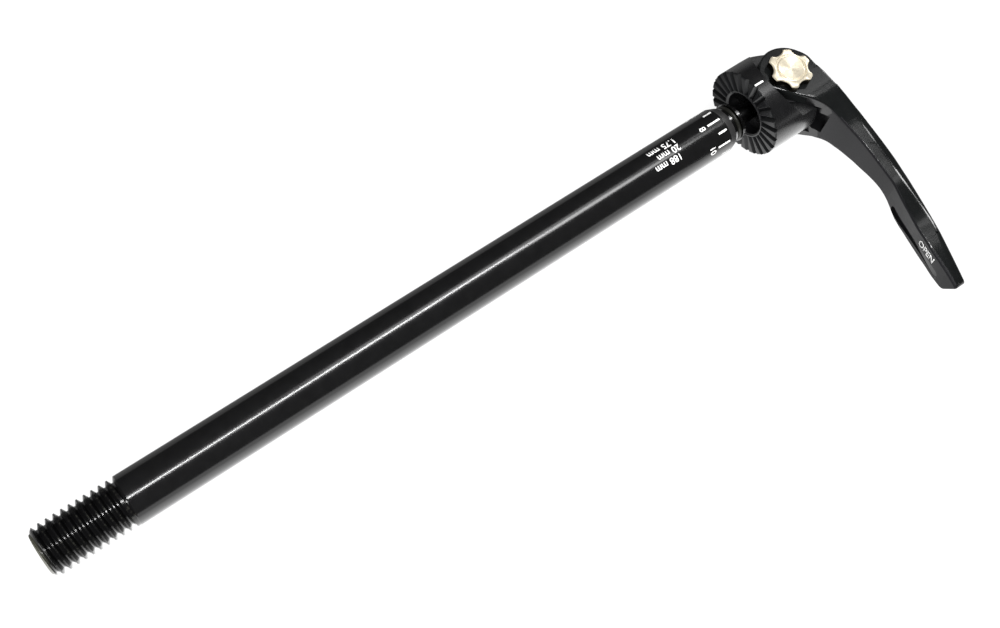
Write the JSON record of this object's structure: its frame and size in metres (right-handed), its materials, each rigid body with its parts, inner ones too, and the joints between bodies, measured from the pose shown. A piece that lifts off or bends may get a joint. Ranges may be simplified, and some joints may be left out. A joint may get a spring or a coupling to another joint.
{
  "type": "bicycle thru axle",
  "caption": "Black bicycle thru axle with a threaded tip, a serrated clamping head and a cam lever held by a star-shaped pivot nut.",
  "frame": {"origin": "on the axle's axis, in the plane of the head's serrated clamp face", "axes": "+X along the axle from the threaded tip to the head, +Z along the lever's pivot towards the star nut, the closed lever points to -Y"},
  "size_m": [0.2181, 0.0782, 0.0232],
  "materials": {
    "shaft_black": "black anodised, semi-gloss",
    "head_black": "black anodised, polished, serrations matt",
    "lever_black": "forged and black anodised, satin on the inner face",
    "star_champagne": "turned and anodised champagne",
    "turned_steel": "turned, bright",
    "spring_steel": "hardened, oiled",
    "bearing_brass": "bored, plain",
    "liner_grey": "moulded, matt grey",
    "slide_plastic": "low-friction, dark grey",
    "seal_rubber": "black rubber"
  },
  "bodies": {
    "shaft": {"axle_shaft": "shaft_black", "end_plug": "shaft_black", "plug_ring": "seal_rubber"},
    "rod": {"draw_rod": "turned_steel", "thrust_washer": "bearing_brass", "disc_spring_1": "spring_steel", "disc_spring_2": "spring_steel", "disc_spring_3": "spring_steel", "disc_spring_4": "spring_steel", "rod_nut": "turned_steel"},
    "head": {"head_housing": "head_black", "bore_liner": "liner_grey", "lower_cam_bush": "bearing_brass", "upper_cam_bush": "bearing_brass", "lower_cheek_washer": "slide_plastic", "upper_cheek_washer": "slide_plastic"},
    "lever": {"lever": "lever_black", "cam_pin": "turned_steel", "nut_washer": "turned_steel", "star_nut": "star_champagne"}
  },
  "joints": [
    {"name": "index_turn", "type": "hinge", "parent": "shaft", "child": "rod", "pos_m": [-0.007, 0, 0], "axis": [1, 0, 0], "continuous": true},
    {"name": "clamp_slide", "type": "slide", "parent": "rod", "child": "head", "axis": [1, 0, 0], "range_m": [0, 0.00134]},
    {"name": "lever_flip", "type": "hinge", "parent": "head", "child": "lever", "pos_m": [0.012, 0, 0], "axis": [0, 0, 1], "range_deg": [0, 140]}
  ],
  "couplings": [
    {"joint": "clamp_slide", "follows": "lever_flip", "m_per_rad": 0.000544}
  ]
}
